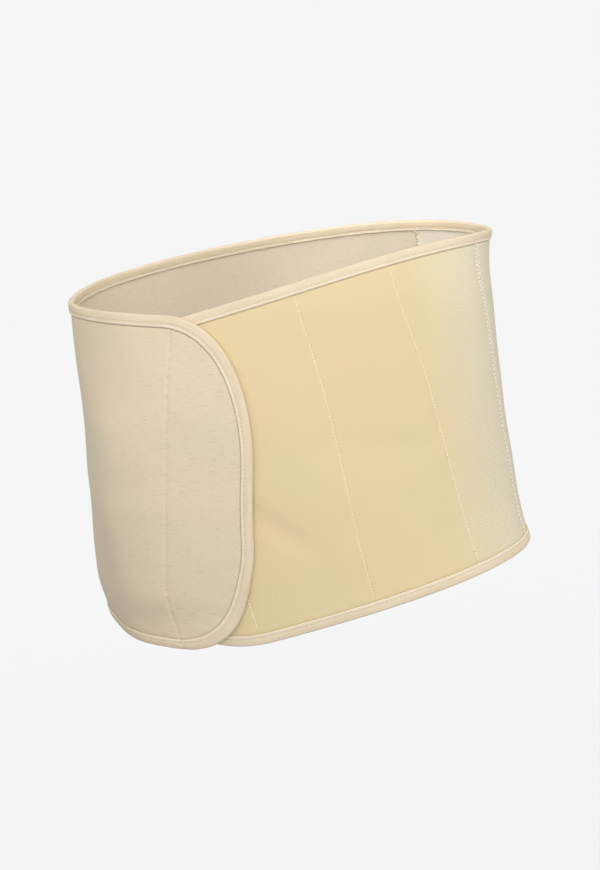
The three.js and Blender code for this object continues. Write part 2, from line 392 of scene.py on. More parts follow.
def line_dent(line, along, down, seed, dent):
    """The dent and the small puckers that a line of stitches draws into the cloth."""
    distance = along - line_at(line, down)
    puckers = dent["pucker"] * bump(distance, PUCKER_REACH) * ripple(distance, down, *PUCKER_SIZE, seed)
    return puckers - dent["depth"] * bump(distance, dent["width"])


LIP_CREASE = BINDING_WIDTH + 0.7
LIP_CREASE_DEPTH = 0.35
LIP_CREASE_WIDTH = 0.8
UNDER_TAPE = 6.0
EDGE_PUCKERS = {"start": 9.0, "reach": 9.0, "height": 0.2, "size": 5.5}


def edge_relief(inward, along, down):
    """The crease at the binding's lip and the small puckers beside it."""
    start, reach, height, size = EDGE_PUCKERS.values()
    beside = smooth(inward, UNDER_TAPE, start) * bump(np.maximum(inward - start, 0), reach)
    puckers = height * beside * ripple(along, down, size, size, SEEDS["edge"])
    return puckers - LIP_CREASE_DEPTH * bump(inward - LIP_CREASE, LIP_CREASE_WIDTH)


# The broad soft swells of the cloth and the finer ones on them: their height, lean and lengths
SWELLS = {
    "broad": {"height": 1.1, "lean": 0.4, "along": 62, "down": 48},
    "fine": {"height": 0.35, "lean": -0.3, "along": 21, "down": 26},
}
SWELL_RISE = (UNDER_TAPE, 45)
SWELL_IN_LAP = 0.5
SWELL_IN_GUSSET = 0.5
UNDER_FLAP = (300, 360)
GUSSET_EASE = {"outside": 20, "inside": 10}


def free_swell(along, down):
    """The soft swells of the stretched cloth. Both layers of the lap have the same ones."""
    behind_flap = along - girth_at((dip_at(along)[0] + down) / BAND_HEIGHT)

    def swell(along):
        total = 0
        for name, row in SWELLS.items():
            leaning = along + row["lean"] * down
            total = total + row["height"] * ripple(leaning, down, row["along"], row["down"], SEEDS[name])
        return total

    under_flap = smooth(along, *UNDER_FLAP)
    start, end = SEAM_BACK["top"], SEAM_SIDE["top"]
    gusset = smooth(along, start - GUSSET_EASE["outside"], start + GUSSET_EASE["inside"])
    gusset = gusset * (1 - smooth(along, end - GUSSET_EASE["inside"], end + GUSSET_EASE["outside"]))
    lapped = np.maximum(under_flap, np.clip(lap_at(along, down) / LAP, 0, 1))
    size = mix(1, SWELL_IN_GUSSET, gusset) * mix(1, SWELL_IN_LAP, lapped)
    return size * mix(swell(along), swell(behind_flap), under_flap)


# The soft folds, each along a line between two places, and how high and how wide it is on each side
FOLDS = [
    {"from": (-401, 90), "to": (-405, 108), "height": 2.9, "left": 22.0, "right": 60.0},
    {"from": (-413, 148), "to": (-423, 208), "height": 3.8, "left": 29.0, "right": 60.0},
    {"from": (-371, 176), "to": (-369, 216), "height": -1.5, "left": 20.0, "right": 22.0},
    {"from": (362, 151), "to": (340, 175), "height": -1.35, "left": 10.0, "right": 8.0},
    {"from": (292, 122), "to": (240, 138), "height": -0.7, "left": 12.0, "right": 10.0},
]
FOLD_FADE = 22.0


def fold_relief(along, down):
    """The folds, each fading out beyond the ends of its line."""
    total = np.zeros(along.shape)
    for fold in FOLDS:
        (a0, d0), (a1, d1) = fold["from"], fold["to"]
        length = math.hypot(a1 - a0, d1 - d0)
        ua, ud = (a1 - a0) / length, (d1 - d0) / length
        travel = (along - a0) * ua + (down - d0) * ud
        across = (along - a0) * ud - (down - d0) * ua
        beyond = np.maximum(0, np.maximum(-travel, travel - length))
        width = np.where(across > 0, fold["left"], fold["right"])
        total += fold["height"] * bump(across, width) * bump(beyond, FOLD_FADE)
    return total


# Where the band's edge is drawn in or eased out: the edge, the place along, the half width, how far out
# and how far down the cloth that reaches
EDGE_EASES = [
    {"edge": "bottom", "at": -350.0, "width": 42.0, "out": -3.4, "reach": 42.0},
    {"edge": "bottom", "at": 142.0, "width": 28.0, "out": 1.3, "reach": 40.0},
    {"edge": "top", "at": -298.0, "width": 34.0, "out": -2.6, "reach": 36.0},
]

# The flap's tip is pressed down, but for its corners
TIP_PRESS = 1.2
TIP_REACH = 22.0
TIP_LAP = 0.9
TIP_CORNERS = (14, 34)


def edge_ease(along, down):
    """The easing of the edges, strongest at the edge itself."""
    total = np.zeros(along.shape)
    for ease in EDGE_EASES:
        from_edge = down if ease["edge"] == "top" else BAND_HEIGHT - down
        near = 1 - smooth(from_edge, 0, ease["reach"])
        total += ease["out"] * bump(along - ease["at"], ease["width"]) * near
    return total


def relief(along, down):
    """The relief of the whole band, as a distance out of its smooth surface."""
    inward = from_outline(along, down)
    out = edge_relief(inward, along, down)
    for i, line in enumerate(STITCH_LINES.values()):
        out = out + line_dent(line, along, down, SEEDS["front_lines"] + i, FRONT_DENT)
    out = out + line_dent(FLAP_LINE, along, down, SEEDS["flap_line"], FLAP_DENT)
    for i, seam in enumerate((SEAM_BACK, SEAM_SIDE)):
        out = out + line_dent(seam, along, down, SEEDS["seams"] + i, SEAM_DENT)
    soft = free_swell(along, down) + fold_relief(along, down)
    out = out + smooth(inward, *SWELL_RISE) * soft + edge_ease(along, down)
    over = smooth(lap_at(along, down) / LAP, TIP_LAP, 1)
    clear_of_edges = smooth(np.minimum(down, BAND_HEIGHT - down), *TIP_CORNERS)
    return out - TIP_PRESS * over * clear_of_edges * bump(inward, TIP_REACH)


# Meshes

def new_object(name, data):
    """A new object in the scene."""
    thing = bpy.data.objects.new(name, data)
    bpy.context.scene.collection.objects.link(thing)
    return thing


def make_mesh(name, points, quads, places=None, slots=None, caps=()):
    """A mesh in metres of points in millimetres. Its places on the band are kept as an attribute."""
    mesh = bpy.data.meshes.new(name)
    mesh.vertices.add(len(points))
    mesh.vertices.foreach_set("co", (points * MM).astype(np.float32).ravel())
    loops = np.concatenate([quads.ravel()] + [np.asarray(cap) for cap in caps])
    sizes = np.concatenate([np.full(len(quads), 4), [len(cap) for cap in caps]]).astype(int)
    mesh.loops.add(len(loops))
    mesh.loops.foreach_set("vertex_index", loops.astype(np.int32))
    mesh.polygons.add(len(sizes))
    starts = np.concatenate([[0], np.cumsum(sizes)[:-1]])
    mesh.polygons.foreach_set("loop_start", starts.astype(np.int32))
    mesh.polygons.foreach_set("loop_total", sizes.astype(np.int32))
    mesh.polygons.foreach_set("use_smooth", np.ones(len(sizes), bool))
    if slots is not None:
        mesh.polygons.foreach_set("material_index", slots.astype(np.int32))
    mesh.update(calc_edges=True)
    mesh.validate()
    if places is not None:
        attribute = mesh.attributes.new("cloth", "FLOAT_VECTOR", "POINT")
        attribute.data.foreach_set("vector", places.astype(np.float32).ravel())
    return new_object(name, mesh)


def grid_quads(rows, columns, offset=0, flip=False):
    """The faces of a grid of points, stored row by row."""
    index = offset + np.arange(rows * columns).reshape(rows, columns)
    quads = [index[:-1, :-1], index[1:, :-1], index[1:, 1:], index[:-1, 1:]]
    if flip:
        quads.reverse()
    return np.stack(quads, -1).reshape(-1, 4)


EDGE_DRAW = TAPE_WALL + GAP

# The steps of the rows down the cloth: each stretch ends so far from the edge, and has such a step
ROW_STRETCHES = [(6.0, 2.0), (12.0, 0.6), (24.0, 1.2), (BAND_HEIGHT / 2, 2.4)]


def row_shares():
    """The rows' distances down as shares of the height, closest together beside the bindings."""
    half, begin = [], 0.0
    for end, step in ROW_STRETCHES:
        half.append(np.linspace(begin, end, round((end - begin) / step) + 1)[:-1])
        begin = end
    half = np.concatenate(half) / BAND_HEIGHT
    return np.concatenate([half, [0.5], 1 - half[::-1]])


def cloth_places(columns, shares, seams):
    """A grid of places over columns, drawn in from the outline to lie inside the folded tape."""
    top, bottom = (part.copy() for part in columns)
    top_inward, bottom_inward = square_to(columns[0]), -square_to(columns[1])
    top += EDGE_DRAW * top_inward
    bottom += EDGE_DRAW * bottom_inward
    for part in (top, bottom):
        part[0, 0] += seams[0]
        part[-1, 0] -= seams[1]
    share = shares[None, :, None]
    places = top[:, None, :] * (1 - share) + bottom[:, None, :] * share
    return places[..., 0], places[..., 1]


def make_sheet(name, columns, wall, middle=0.0, seams=(0.0, 0.0)):
    """A closed sheet of cloth over columns. Its outer face is slot 0 and its inner face slot 1."""
    along, down = cloth_places(columns, row_shares(), seams)
    point, normal = cloth_frame(along, down)
    shift = middle + relief(along, down)
    outer = point + normal * (shift + wall / 2)[..., None]
    inner = point + normal * (shift - wall / 2)[..., None]
    count, row_count = along.shape
    size = count * row_count
    index = np.arange(size).reshape(count, row_count)
    rim = np.concatenate([index[0], index[1:, -1], index[-1, -2::-1], index[-2:0:-1, 0]])
    after = np.roll(rim, -1)
    edges = np.stack([rim, after, after + size, rim + size], -1)
    quads = np.concatenate([
        grid_quads(count, row_count),
        grid_quads(count, row_count, size, flip=True),
        edges[:, ::-1],
    ])
    inner_faces = (count - 1) * (row_count - 1)
    slots = np.zeros(len(quads), int)
    slots[inner_faces:2 * inner_faces] = 1
    places = np.stack([along, down, from_outline(along, down)], -1).reshape(-1, 3)
    places = np.concatenate([places, places])
    points = np.concatenate([outer.reshape(-1, 3), inner.reshape(-1, 3)])
    return make_mesh(name, points, quads, places, slots)


# The folded tape

half_wall = PANEL_WALL / 2
TAPE_INNER = half_wall + GAP
TAPE_OUTER = TAPE_INNER + TAPE_WALL
TAPE_GROOVE = 6.2
FOLD_RADIUS = 1.5
FOLD_POINTS = 6

# The tape's outer face: how far in from the fold, and how far above its plain height
TAPE_FACE = [(3.2, 0.1), (4.6, 0.08), (5.5, -0.08)]
TAPE_FACE += [(5.9, -0.28), (TAPE_GROOVE, -0.34), (6.5, -0.26)]
TAPE_FACE += [(6.9, -0.06), (7.5, 0.02), (8.05, -0.12), (BINDING_WIDTH, -0.6)]
LIP_CLEARANCE = 0.12
LINING_BEND = 5.0

# Small waves of the tape's face: their height and lengths, and how much the second ones skew across it
WAVES_ALONG = {"height": 0.07, "size": (4.5, 10)}
WAVES_ACROSS = {"height": 0.05, "size": (11, 4), "skew": 3}


def tape_profile():
    """The folded tape's section on its outer side, from the fold to the lip: inward and out."""
    turn = np.linspace(0, math.pi / 2, FOLD_POINTS)
    fold = [(FOLD_RADIUS * (1 - math.cos(a)), TAPE_OUTER * math.sin(a)) for a in turn]
    face = [(inward, TAPE_OUTER + above) for inward, above in TAPE_FACE]
    lip = [(BINDING_WIDTH, half_wall + LIP_CLEARANCE)]
    lining = [(LINING_BEND, TAPE_INNER), (TAPE_WALL, TAPE_INNER)]
    return np.array(fold + face + lip + lining)


def make_binding():
    """The tape folded over the whole outline, in sections square to it."""
    inward = square_to(OUTLINE, closed=True)
    half = tape_profile()
    other = half[1:][::-1] * (1, -1)
    section = np.concatenate([half, other])
    count, size = len(OUTLINE), len(section)
    along = OUTLINE[:, None, 0] + inward[:, None, 0] * section[None, :, 0]
    down = OUTLINE[:, None, 1] + inward[:, None, 1] * section[None, :, 0]
    point, normal = cloth_frame(along, down)
    travel = np.arange(count)[:, None] * TAPE_STEP + 0 * along
    depth, level = section[:, 0] + 0 * along, section[:, 1] + 0 * along
    on_face = smooth(np.abs(level), TAPE_INNER, TAPE_OUTER)
    across = WAVES_ACROSS["skew"] * level
    waves = WAVES_ALONG["height"] * ripple(travel, 0 * along, *WAVES_ALONG["size"], SEEDS["tape_along"])
    waves += WAVES_ACROSS["height"] * ripple(travel, across, *WAVES_ACROSS["size"], SEEDS["tape_across"])
    out = level + np.sign(level) * on_face * waves + relief(along, down)
    points = point + normal * out[..., None]
    here = np.arange(count * size).reshape(count, size)
    after = np.roll(here, -1, 0)
    quads = np.stack([here, after, np.roll(after, -1, 1), np.roll(here, -1, 1)], -1).reshape(-1, 4)
    places = np.stack([travel, depth, level], -1).reshape(-1, 3)
    return make_mesh("binding_tape", points.reshape(-1, 3), quads, places)


# Stitches

STITCH_SIDES = 6

# Rings of points along a stitch: their place from -1 to 1, and their radius
STITCH_STATIONS = [(-0.9, 0.65), (-0.55, 1.0), (0.55, 1.0), (0.9, 0.65)]
THREAD_WIDTH = 0.46
THREAD_HEIGHT = 0.24
THREAD_ARCH = 0.12


def stitch_shape():
    """One stitch as a closed capsule along x, from -1 to 1, with a radius of 1: points and faces."""
    points = [(-1, 0, 0)]
    for x, radius in STITCH_STATIONS:
        for k in range(STITCH_SIDES):
            angle = 2 * math.pi * k / STITCH_SIDES
            points.append((x, radius * math.cos(angle), radius * math.sin(angle)))
    points.append((1, 0, 0))
    quads, triangles = [], []
    last = 1 + (len(STITCH_STATIONS) - 1) * STITCH_SIDES
    for ring in range(1, last, STITCH_SIDES):
        for k in range(STITCH_SIDES):
            a, b = ring + k, ring + (k + 1) % STITCH_SIDES
            quads.append((a, b, b + STITCH_SIDES, a + STITCH_SIDES))
    for k in range(STITCH_SIDES):
        after = (k + 1) % STITCH_SIDES
        triangles.append((0, 1 + after, 1 + k))
        triangles.append((last + k, last + after, len(points) - 1))
    return np.array(points, float), quads, triangles


def make_stitches(name, runs):
    """Joined stitches. Each run has the places of their two ends, how far out they lie and their face."""
    shape, quads, triangles = stitch_shape()
    all_points, all_quads, all_triangles, offset = [], [], [], 0
    for start, end, out, face in runs:
        count = len(start)
        p0, n0 = cloth_frame(*start.T)
        p1, n1 = cloth_frame(*end.T)
        middle = (start + end) / 2
        shift = face * out + relief(*middle.T)
        p0 = p0 + n0 * shift[:, None]
        p1 = p1 + n1 * shift[:, None]
        middle, axis = (p0 + p1) / 2, (p1 - p0) / 2
        normal = (n0 + n1) * face / 2
        width = np.cross(normal, axis)
        width /= np.linalg.norm(width, axis=1, keepdims=True)
        rise = (1 - shape[:, 0] ** 2) * THREAD_ARCH + shape[:, 2] * THREAD_HEIGHT
        points = (middle[:, None] + axis[:, None] * shape[None, :, :1]
                  + width[:, None] * (shape[None, :, 1:2] * THREAD_WIDTH)
                  + normal[:, None] * rise[None, :, None])
        shifts = offset + np.arange(count)[:, None, None] * len(shape)
        all_points.append(points.reshape(-1, 3))
        all_quads.append((shifts + np.array(quads)[None]).reshape(-1, 4))
        all_triangles.append((shifts + np.array(triangles)[None]).reshape(-1, 3))
        offset += count * len(shape)
    caps = list(np.concatenate(all_triangles))
    return make_mesh(name, np.concatenate(all_points), np.concatenate(all_quads), caps=caps)


STITCH_LENGTH = 2.1
STITCH_STEP = 0.35
WOBBLE = 0.12
TAPE_WOBBLE = 0.05
LINE_POINTS = 200


def running_stitches(path, seed, gap, wobble=WOBBLE):
    """The ends of stitches that run along a line of places."""
    fine = evenly(path, STITCH_STEP)
    per = round((STITCH_LENGTH + gap) / STITCH_STEP)
    first = np.arange(0, len(fine) - per, per)
    last = first + round(STITCH_LENGTH / STITCH_STEP)
    random = np.random.default_rng(seed)
    start, end = fine[first].copy(), fine[last].copy()
    start += random.uniform(-wobble, wobble, start.shape)
    end += random.uniform(-wobble, wobble, end.shape)
    return start, end


def zigzag_stitches(path, width, pitch):
    """The ends of stitches that go to and fro across a line of places."""
    middle = evenly(path, pitch)
    inward = square_to(middle)
    swing = np.where(np.arange(len(middle)) % 2 == 0, 0.5, -0.5)[:, None] * width
    points = middle + inward * swing
    return points[:-1], points[1:]


def line_places(line, margin):
    """Places along a line across the band, which stops short of both edges by a margin."""
    down = np.linspace(margin, BAND_HEIGHT - margin, LINE_POINTS)
    return np.stack([line_at(line, down), down], -1)


# Materials

SHEEN_ROUGHNESS = 0.45


def new_material(name, roughness, sheen, specular=0.2):
    """The nodes of a new material."""
    material = bpy.data.materials.new(name)
    material.use_nodes = True
    shader = material.node_tree.nodes["Principled BSDF"]
    shader.inputs["Roughness"].default_value = roughness
    shader.inputs["Specular IOR Level"].default_value = specular
    shader.inputs["Sheen Weight"].default_value = sheen
    shader.inputs["Sheen Roughness"].default_value = SHEEN_ROUGHNESS
    return Nodes(material, shader)


def from_hex(text):
    """A colour in the shader's linear values, by the curve of the sRGB standard."""
    channels = [int(text[i:i + 2], 16) / 255 for i in (0, 2, 4)]
    linear = [c / 12.92 if c <= 0.04045 else ((c + 0.055) / 1.055) ** 2.4 for c in channels]
    return (*linear, 1.0)


class Nodes:
    """Short ways to add nodes to a material or to the world."""

    def __init__(self, owner, shader=None):
        self.owner = owner
        self.tree = owner.node_tree
        self.shader = shader

    def add(self, kind, values=None, **settings):
        """A new node, with the constants on its sockets and its settings."""
        node = self.tree.nodes.new(kind)
        for key, value in settings.items():
            setattr(node, key, value)
        for socket, value in (values or {}).items():
            node.inputs[socket].default_value = value
        return node

    def link(self, source, target):
        self.tree.links.new(source, target)

    @cached_property
    def place(self):
        """The place on the cloth, from the mesh's attribute."""
        return self.add("ShaderNodeAttribute", attribute_name="cloth").outputs["Vector"]

    def scaled(self, along, down, turn=0.0):
        """The place on the cloth with each distance multiplied, and then turned by an angle."""
        node = self.add("ShaderNodeMapping", {"Scale": (along, down, 0.0), "Rotation": (0.0, 0.0, turn)})
        self.link(self.place, node.inputs["Vector"])
        return node.outputs["Vector"]

    def noise(self, along, down, detail, roughness=0.5):
        """Noise with so many swells to a millimetre along and down the cloth."""
        values = {"Scale": 1.0, "Detail": detail, "Roughness": roughness}
        node = self.add("ShaderNodeTexNoise", values)
        self.link(self.scaled(along, down), node.inputs["Vector"])
        return node.outputs["Fac"]

    def wave(self, scale, distortion, direction, turn=0.0):
        """Soft bands over the cloth, turned by an angle."""
        values = {"Scale": scale, "Distortion": distortion, "Detail": 1.0}
        node = self.add("ShaderNodeTexWave", values, wave_type="BANDS", bands_direction=direction)
        self.link(self.scaled(1.0, 1.0, turn), node.inputs["Vector"])
        return node.outputs["Fac"]

    def between(self, value, low, high, to_low=0.0, to_high=1.0):
        """A value taken from one range to another, and held inside it."""
        values = {"From Min": low, "From Max": high, "To Min": to_low, "To Max": to_high}
        node = self.add("ShaderNodeMapRange", values)
        self.link(value, node.inputs["Value"])
        return node.outputs["Result"]

    def give(self, socket, value):
        """Gives a socket a number, a colour in numbers or hexadecimal digits, or a link."""
        if isinstance(value, str):
            value = from_hex(value)
        if isinstance(value, (float, int, tuple)):
            socket.default_value = value
        else:
            self.link(value, socket)

    def blend(self, share, a, b, mode="MIX"):
        """A mix of two colours."""
        node = self.add("ShaderNodeMix", data_type="RGBA", blend_type=mode)
        sockets = {socket.identifier: socket for socket in node.inputs}
        for key, value in (("Factor_Float", share), ("A_Color", a), ("B_Color", b)):
            self.give(sockets[key], value)
        return node.outputs[2]

    def math(self, operation, a, b=0.0):
        node = self.add("ShaderNodeMath", operation=operation)
        self.give(node.inputs[0], a)
        self.give(node.inputs[1], b)
        return node.outputs[0]

    def split(self):
        """The place's three numbers: along, down and in, or on the tape travel, in and out."""
        node = self.add("ShaderNodeSeparateXYZ")
        self.link(self.place, node.inputs[0])
        return node.outputs

    def mottled(self, along, down, cool, warm, spread=0.14):
        """A colour that drifts from one to another over swells of the cloth."""
        swells = self.noise(along, down, 2.0)
        return self.blend(self.between(swells, 0.5 - spread, 0.5 + spread), cool, warm)

    def with_painted_shade(self, colour, distance, low, high, amount):
        """A colour with a soft darker line of painted shade where a distance lies between two values."""
        middle, half = (low + high) / 2, (high - low) / 2
        away = self.math("ABSOLUTE", self.math("SUBTRACT", distance, middle))
        share = self.between(away, half * CREASE_CORE, half, amount, 0.0)
        return self.blend(share, colour, PAINTED_CREASE_SHADE, "MULTIPLY")

    def finished(self, colour, bumps):
        """The material with its colour and its bumps, each a height, a strength and a depth in mm."""
        self.link(colour, self.shader.inputs["Base Color"])
        before = None
        for height, strength, depth in bumps:
            node = self.add("ShaderNodeBump", {"Strength": strength, "Distance": depth * MM})
            self.link(height, node.inputs["Height"])
            if before is not None:
                self.link(before, node.inputs["Normal"])
            before = node.outputs["Normal"]
        self.link(before, self.shader.inputs["Normal"])
        return self.owner

    def surface(self, shading):
        """The material with its surface taken from another socket."""
        self.link(shading, self.tree.nodes["Material Output"].inputs["Surface"])
        return self.owner

    def glow(self, value):
        """An even grey light."""
        return self.add("ShaderNodeEmission", {"Color": (value, value, value, 1.0)}).outputs[0]


# The painted shade, a darker line in the crease beside the tape: its reach, its full middle and how dark
# it is
CREASE = (LIP_CREASE - 0.9, LIP_CREASE + 0.1)
CREASE_CORE = 0.4
PAINTED_CREASE_SHADE = (0.40, 0.31, 0.22, 1.0)
KNIT_CREASE = 0.42
RIB_CREASE = 0.32
TAPE_CREASE = 0.2

# Where the knit's slubs grow stronger along the flap, as painted shade at its tip, and how strong they
# are before and after
SLUB_SHADE_RISE = (-380, -440)
SLUB_AND_SHADE_SHARES = (0.10, 0.28)
DARK_SLUB = "b09b7f"
PALE_SLUB = "f0e2cc"
KNIT_GRAIN = "a99677"


def knit_material(name, base, warm, cool, slubs=1.0):
    """Smooth knitted cloth: fine rows of loops, faint slubs along them and a mottled colour."""
    nodes = new_material(name, 0.86, 0.2)
    colour = nodes.blend(0.45, nodes.mottled(0.011, 0.014, cool, warm), base)
    along, down, inward = nodes.split()
    slub = nodes.noise(0.13, 1.2, 3.0, 0.6)
    # Painted shade: the slubs grow stronger and darker towards the flap's tip, which darkens the knit
    # there.
    share = nodes.between(along, *SLUB_SHADE_RISE, *(part * slubs for part in SLUB_AND_SHADE_SHARES))
    dark_slub = nodes.math("MULTIPLY", nodes.between(slub, 0.57, 0.67), share)
    pale_slub = nodes.math("MULTIPLY", nodes.between(slub, 0.42, 0.33), share)
    colour = nodes.blend(dark_slub, colour, DARK_SLUB)
    colour = nodes.blend(pale_slub, colour, PALE_SLUB)
    fine = nodes.noise(0.9, 1.9, 2.0)
    colour = nodes.blend(nodes.between(fine, 0.3, 0.7, 0.0, 0.10), colour, KNIT_GRAIN)
    # Painted shade: a darker line in the crease beside the tape's lip.
    colour = nodes.with_painted_shade(colour, inward, *CREASE, KNIT_CREASE)
    rows = nodes.wave(0.36, 1.2, "Y")
    loops = nodes.wave(0.30, 1.6, "X")
    bumps = [(rows, 0.35, 0.12), (loops, 0.25, 0.10), (slub, 0.45, 0.25), (fine, 0.3, 0.15)]
    return nodes.finished(colour, bumps)


def twill(nodes):
    """Fine diagonal ribs, 1.7 mm apart."""
    return nodes.wave(0.185, 0.5, "Y", 0.5)


# Where the pile of the plush thins out and where the ribs set in, along lines that lean down the cloth
PILE_THINS = {"range": (205, 150), "lean": -0.06}
RIBS_SET_IN = {"range": (178, 135), "lean": -0.2}
PLUSH = {"green": "e2d2a6", "pink": "e5cfa8", "bare": "e6dec2", "pile": "c4ad7c", "rib": "a79c80"}


def plush_material(name):
    """Short brushed loop pile, yellower than the knit, that greys into ribbing near the hip."""
    nodes = new_material(name, 0.95, 0.35)
    along, down, inward = nodes.split()

    def toward_hip(change):
        leaning = nodes.math("ADD", along, nodes.math("MULTIPLY", down, change["lean"]))
        return nodes.between(leaning, *change["range"])

    colour = nodes.mottled(0.012, 0.010, PLUSH["green"], PLUSH["pink"])
    colour = nodes.blend(toward_hip(PILE_THINS), colour, PLUSH["bare"])
    pile = nodes.noise(0.8, 0.8, 3.0, 0.65)
    colour = nodes.blend(nodes.between(pile, 0.35, 0.7, 0.0, 0.16), colour, PLUSH["pile"])
    ribs = nodes.math("MULTIPLY", twill(nodes), toward_hip(RIBS_SET_IN))
    colour = nodes.blend(nodes.math("MULTIPLY", ribs, 0.12), colour, PLUSH["rib"])
    # Painted shade: a darker line in the crease beside the tape's lip.
    colour = nodes.with_painted_shade(colour, inward, *CREASE, RIB_CREASE)
    tufts = nodes.noise(0.28, 0.28, 2.0)
    return nodes.finished(colour, [(pile, 0.5, 0.3), (tufts, 0.3, 0.45), (ribs, 0.5, 0.3)])


ELASTIC_RIB = "a89c7c"


def elastic_material(name, pale, dark, ribbed=1.0):
    """Finely ribbed elastic: diagonal ribs on a greyer ground."""
    nodes = new_material(name, 0.88, 0.15)
    colour = nodes.mottled(0.015, 0.012, dark, pale)
    ribs = twill(nodes)
    colour = nodes.blend(nodes.math("MULTIPLY", ribs, 0.11 * ribbed), colour, ELASTIC_RIB)
    # Painted shade: a darker line in the crease beside the tape's lip.
    colour = nodes.with_painted_shade(colour, nodes.split()[2], *CREASE, RIB_CREASE)
    fine = nodes.noise(1.2, 1.2, 2.0)
    return nodes.finished(colour, [(ribs, 0.45 * ribbed, 0.3), (fine, 0.3, 0.12)])


TAPE = {"dark": "e2d1b5", "pale": "e9dabf", "ridge_highlight": "ede0c9", "rib": "c2a985"}
TAPE_CREASE_REACH = (TAPE_GROOVE - 0.5, TAPE_GROOVE + 0.3)
RIDGE_HIGHLIGHT_START = (6.2, 6.8)


def tape_material(name):
    """Woven tape: fine ribs across it, cream, a painted highlight on its ridge, painted shade where the
    stitches pull it in.
    """
    nodes = new_material(name, 0.85, 0.05, 0.1)
    inward = nodes.split()[1]
    colour = nodes.mottled(0.03, 0.2, TAPE["dark"], TAPE["pale"], spread=0.15)
    # Painted highlight: the ridge between the groove and the lip is painted paler.
    colour = nodes.blend(nodes.between(inward, *RIDGE_HIGHLIGHT_START), colour, TAPE["ridge_highlight"])
    ribs = nodes.wave(0.30, 0.8, "X")
    colour = nodes.blend(nodes.between(ribs, 0.0, 1.0, 0.10, 0.0), colour, TAPE["rib"])
    # Painted shade: a darker line in the groove where the stitches pull the tape in.
    colour = nodes.with_painted_shade(colour, inward, *TAPE_CREASE_REACH, TAPE_CREASE)
    fine = nodes.noise(1.3, 1.3, 2.0)
    return nodes.finished(colour, [(ribs, 0.35, 0.12), (fine, 0.3, 0.12)])


HOOKS = {"dark": "c9b594", "pale": "e6d6bb"}
HOOK_ROWS = {"Scale": 0.9, "Randomness": 0.35}


def hook_material(name):
    """Moulded hook tape: rows of tiny hooks, which read as a fine grain."""
    nodes = new_material(name, 0.6, 0.0, 0.35)
    hooks = nodes.add("ShaderNodeTexVoronoi", HOOK_ROWS)
    nodes.link(nodes.scaled(1.0, 1.0), hooks.inputs["Vector"])
    height = nodes.between(hooks.outputs["Distance"], 0.0, 0.6, 1.0, 0.0)
    colour = nodes.blend(height, HOOKS["dark"], HOOKS["pale"])
    return nodes.finished(colour, [(height, 0.8, 0.6)])


TWIST_SCALE = 1800.0


def thread_material(name, dark, pale):
    """Twisted sewing thread."""
    nodes = new_material(name, 0.55, 0.1, 0.35)
    twist = nodes.add("ShaderNodeTexNoise", {"Scale": TWIST_SCALE})
    nodes.link(nodes.add("ShaderNodeTexCoord").outputs["Object"], twist.inputs["Vector"])
    grain = twist.outputs["Fac"]
    return nodes.finished(nodes.blend(grain, dark, pale), [(grain, 0.3, 0.08)])


# knit_inner and elastic_inner are painted paler than their outer faces: painted light that lightens the
# hollow.
knit_outer = knit_material("knit_outer", "e1d2b6", "ead5ba", "ded4ba")
knit_inner = knit_material("knit_inner", "e4d8c1", "ead9c3", "dfd6c0", slubs=2.4)
plush = plush_material("plush_outer")
plush_back = knit_material("plush_back", "dccdaa", "e0ccac", "d6cba8")
elastic = elastic_material("elastic_outer", "e6dec4", "e0dabf")
elastic_back = elastic_material("elastic_inner", "ece5d4", "e6dfce", ribbed=0.35)
tape = tape_material("tape_cream")
hooks = hook_material("hook_grain")
thread = thread_material("thread_pale", "f3e5c3", "fdf2d6")
muted_thread = thread_material("thread_muted", "d6c6aa", "e6d8be")
seam_thread = thread_material("thread_seam", "f4ead0", "fffaec")
tape_thread = thread_material("thread_tape", "e2d2b4", "ebdcc1")


def dress(piece, slot, *materials):
    """Gives a piece its materials and the body that it rides on. Its slot is not used."""
    for material in materials:
        piece.data.materials.append(material)
    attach(piece, "root")
    return piece


# The panels

SEAM_GAP = GAP / 2

main_panel = make_sheet("main_panel_cloth", main_panel_columns(), PANEL_WALL, seams=(0.0, SEAM_GAP))
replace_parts(dress(main_panel, "smooth_knit", knit_outer, knit_inner), "main_panel")

side_gusset = make_sheet("side_gusset_cloth", gusset_columns(), PANEL_WALL, seams=(SEAM_GAP, SEAM_GAP))
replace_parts(dress(side_gusset, "ribbed_elastic", elastic, elastic_back), "side_gusset")

front_panel = make_sheet("front_panel_cloth", front_panel_columns(), PANEL_WALL, seams=(SEAM_GAP, 0.0))
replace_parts(dress(front_panel, "plush_loop", plush, plush_back), "front_panel")

HOOK_COLUMNS = 40


def hook_patch_columns():
    """The hook patch's columns, from its side near the flap's tip, set in from the flap's edge."""
    columns = []
    for edge, radius in FLAP_CORNERS.items():
        last = math.asin(max(0.0, 1 - HOOK_WIDTH / (radius["along"] - HOOK_MARGIN)))
        turn = np.linspace(1, last / (math.pi / 2), HOOK_COLUMNS + 1)
        columns.append(on_corner(FLAP_END, edge, turn, HOOK_MARGIN))
    return tuple(columns)


hook_middle = -half_wall - HOOK_GAP - HOOK_WALL / 2
hook_patch = make_sheet("hook_patch_cloth", hook_patch_columns(), HOOK_WALL, hook_middle)
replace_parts(dress(hook_patch, "hook_tape", hooks, hooks), "hook_patch")

binding = make_binding()
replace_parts(dress(binding, "binding_tape", tape), "binding")


# The stitching

STITCH_RISE = 0.12
STITCH_END = 10.0
ZIGZAG_END = 8.0
FACES = (1, -1)
FRONT_STITCH_GAP = 0.5
FLAP_STITCH_GAP = 4.2
TAPE_STITCH_GAP = 0.7
SIDE_ZIGZAG = {"width": 5.2, "pitch": 1.7}
BACK_ZIGZAG = {"width": 5.6, "pitch": 2.6}


